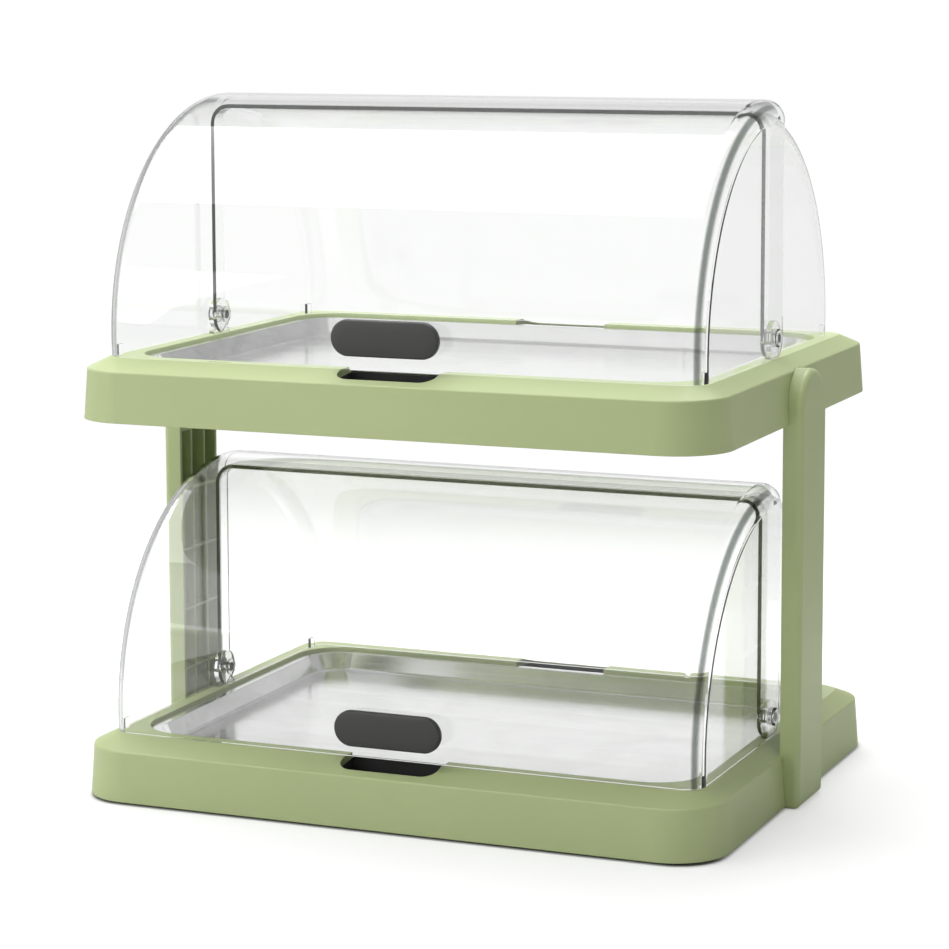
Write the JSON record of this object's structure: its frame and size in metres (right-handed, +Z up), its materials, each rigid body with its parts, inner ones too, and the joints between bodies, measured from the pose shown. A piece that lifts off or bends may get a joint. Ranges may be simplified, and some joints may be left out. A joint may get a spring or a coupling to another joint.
{
  "type": "two-tier roll-top display",
  "caption": "Two-tier counter display: moulded bases with cold packs under steel trays, clear roll-top lids that open front and back, ribbed side columns.",
  "frame": {"origin": "on the surface it stands on, under the middle of the display", "axes": "+X to the right seen from the front, along the lid pivots; +Y to the back; +Z up"},
  "size_m": [0.458, 0.356, 0.455],
  "materials": {
    "green_plastic": "fine matte moulding in sage green",
    "clear_plastic": "clear polished",
    "stainless_steel": "bright rolled",
    "dark_plastic": "charcoal matte",
    "cold_pack": "smooth",
    "black_rubber": "matte",
    "zinc_steel": "plated"
  },
  "bodies": {
    "stand": {"lower_base": "green_plastic", "lower_pack_left": "cold_pack", "lower_pack_right": "cold_pack", "lower_bracket_left": "clear_plastic", "lower_bracket_right": "clear_plastic", "lower_pin_left": "clear_plastic", "lower_pin_right": "clear_plastic", "lower_cap_left": "clear_plastic", "lower_cap_right": "clear_plastic", "lower_screw_left_low": "zinc_steel", "lower_screw_left_high": "zinc_steel", "lower_screw_right_low": "zinc_steel", "lower_screw_right_high": "zinc_steel", "upper_base": "green_plastic", "upper_pack_left": "cold_pack", "upper_pack_right": "cold_pack", "upper_bracket_left": "clear_plastic", "upper_bracket_right": "clear_plastic", "upper_pin_left": "clear_plastic", "upper_pin_right": "clear_plastic", "upper_cap_left": "clear_plastic", "upper_cap_right": "clear_plastic", "upper_screw_left_low": "zinc_steel", "upper_screw_left_high": "zinc_steel", "upper_screw_right_low": "zinc_steel", "upper_screw_right_high": "zinc_steel", "column_left": "green_plastic", "column_right": "green_plastic", "foot_front_left": "black_rubber", "foot_front_right": "black_rubber", "foot_rear_left": "black_rubber", "foot_rear_right": "black_rubber"},
    "lower_front_roll": {"lower_front_lid": "clear_plastic", "lower_handle": "dark_plastic"},
    "lower_rear_roll": {"lower_rear_lid": "clear_plastic"},
    "lower_tray_body": {"lower_tray": "stainless_steel"},
    "upper_front_roll": {"upper_front_lid": "clear_plastic", "upper_handle": "dark_plastic"},
    "upper_rear_roll": {"upper_rear_lid": "clear_plastic"},
    "upper_tray_body": {"upper_tray": "stainless_steel"}
  },
  "joints": [
    {"name": "lower_front_lid_hinge", "type": "hinge", "parent": "stand", "child": "lower_front_roll", "pos_m": [0, 0, 0.054], "axis": [-1, 0, 0], "range_deg": [0, 90]},
    {"name": "lower_rear_lid_hinge", "type": "hinge", "parent": "stand", "child": "lower_rear_roll", "pos_m": [0, 0, 0.054], "axis": [-1, 0, 0], "range_deg": [-90, 0]},
    {"name": "lower_tray_lift", "type": "slide", "parent": "stand", "child": "lower_tray_body", "axis": [0, 0, 1], "range_m": [0, 0.02]},
    {"name": "upper_front_lid_hinge", "type": "hinge", "parent": "stand", "child": "upper_front_roll", "pos_m": [0, 0, 0.3025], "axis": [-1, 0, 0], "range_deg": [0, 90]},
    {"name": "upper_rear_lid_hinge", "type": "hinge", "parent": "stand", "child": "upper_rear_roll", "pos_m": [0, 0, 0.3025], "axis": [-1, 0, 0], "range_deg": [-90, 0]},
    {"name": "upper_tray_lift", "type": "slide", "parent": "stand", "child": "upper_tray_body", "axis": [0, 0, 1], "range_m": [0, 0.02]}
  ]
}
